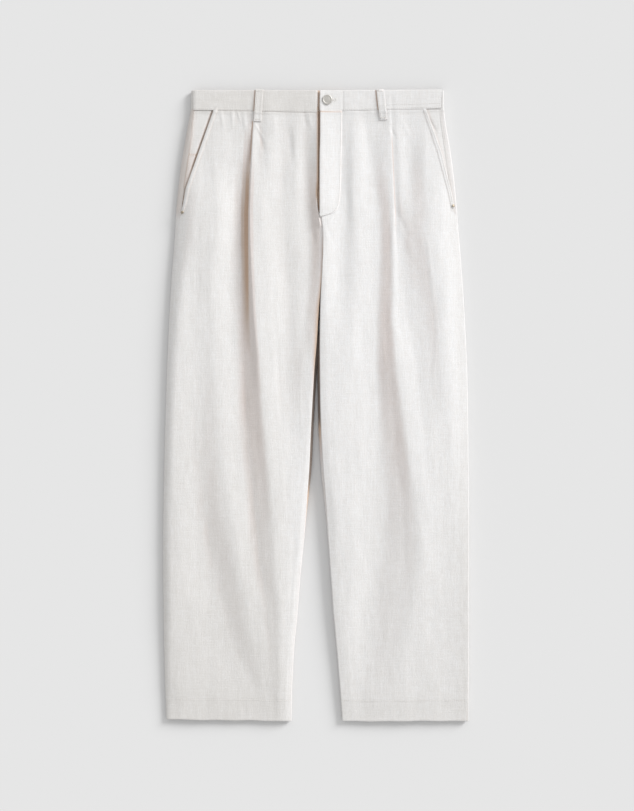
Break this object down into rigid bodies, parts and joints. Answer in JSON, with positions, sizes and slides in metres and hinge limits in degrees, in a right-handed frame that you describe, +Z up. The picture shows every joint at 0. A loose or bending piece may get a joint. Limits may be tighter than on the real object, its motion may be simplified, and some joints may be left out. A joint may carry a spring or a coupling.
{
  "type": "pleated denim trousers",
  "caption": "Straight pleated trousers in ecru slub denim, laid flat with the front up, with a waistband, belt loops, shank button, fly, slanted pockets and deep hems.",
  "frame": {"origin": "centre of the footprint, on the surface the trousers lie on", "axes": "+Y towards the waist, +X towards the wearer's left side, +Z up, out of the front"},
  "size_m": [0.508, 1.0509, 0.0187],
  "materials": {
    "ecru_denim": "matt slub denim, fine cross-hatched weave",
    "waistband_denim": "matt slub denim, doubled and topstitched",
    "facing_denim": "matt slub denim, shaded inside the pocket mouth",
    "welt_denim": "matt slub denim, folded edge",
    "loop_denim": "matt slub denim strip, edge stitched",
    "button_steel": "satin, domed",
    "rivet_brass": "dull, aged"
  },
  "bodies": {
    "root": {"front_right": "ecru_denim", "front_left": "ecru_denim", "back_right": "ecru_denim", "back_left": "ecru_denim", "hem_front_right": "ecru_denim", "hem_front_left": "ecru_denim", "hem_back_right": "ecru_denim", "hem_back_left": "ecru_denim", "waistband_right": "waistband_denim", "waistband_left": "waistband_denim", "waistband_back": "waistband_denim", "fly": "ecru_denim", "fly_shield": "ecru_denim", "pocket_facing_right": "facing_denim", "pocket_facing_left": "facing_denim", "pocket_welt_right": "welt_denim", "pocket_welt_left": "welt_denim", "belt_loop_right": "loop_denim", "belt_loop_left": "loop_denim", "button": "button_steel", "rivet_right": "rivet_brass", "rivet_left": "rivet_brass"}
  },
  "joints": []
}
